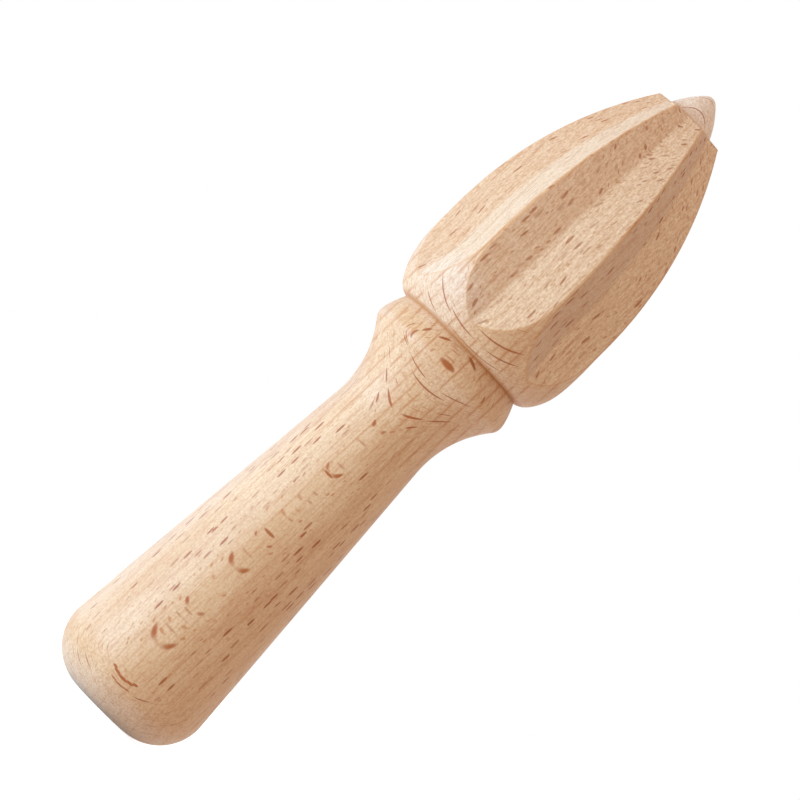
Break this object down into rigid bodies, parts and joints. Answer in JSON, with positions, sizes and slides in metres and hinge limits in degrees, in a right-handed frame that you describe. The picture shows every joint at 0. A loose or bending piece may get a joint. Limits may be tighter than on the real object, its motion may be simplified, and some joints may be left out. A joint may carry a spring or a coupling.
{
  "type": "citrus reamer",
  "caption": "Hand citrus reamer turned from solid beech: tapered round handle, narrow neck, bead and groove, and an egg-shaped head with milled V flutes and a blunt nose.",
  "frame": {"origin": "centre of the flat end of the handle, on the turning axis", "axes": "+Z runs along the turning axis from the handle's end to the nose. -Y points out of the middle of one of the seven flutes, the one that faces front. +X points to the right of that flute."},
  "size_m": [0.0388, 0.0381, 0.16],
  "materials": {
    "beech": "bare beech, turned and fine-sanded, flutes left as milled"
  },
  "bodies": {
    "root": {"reamer": "beech"}
  },
  "joints": []
}
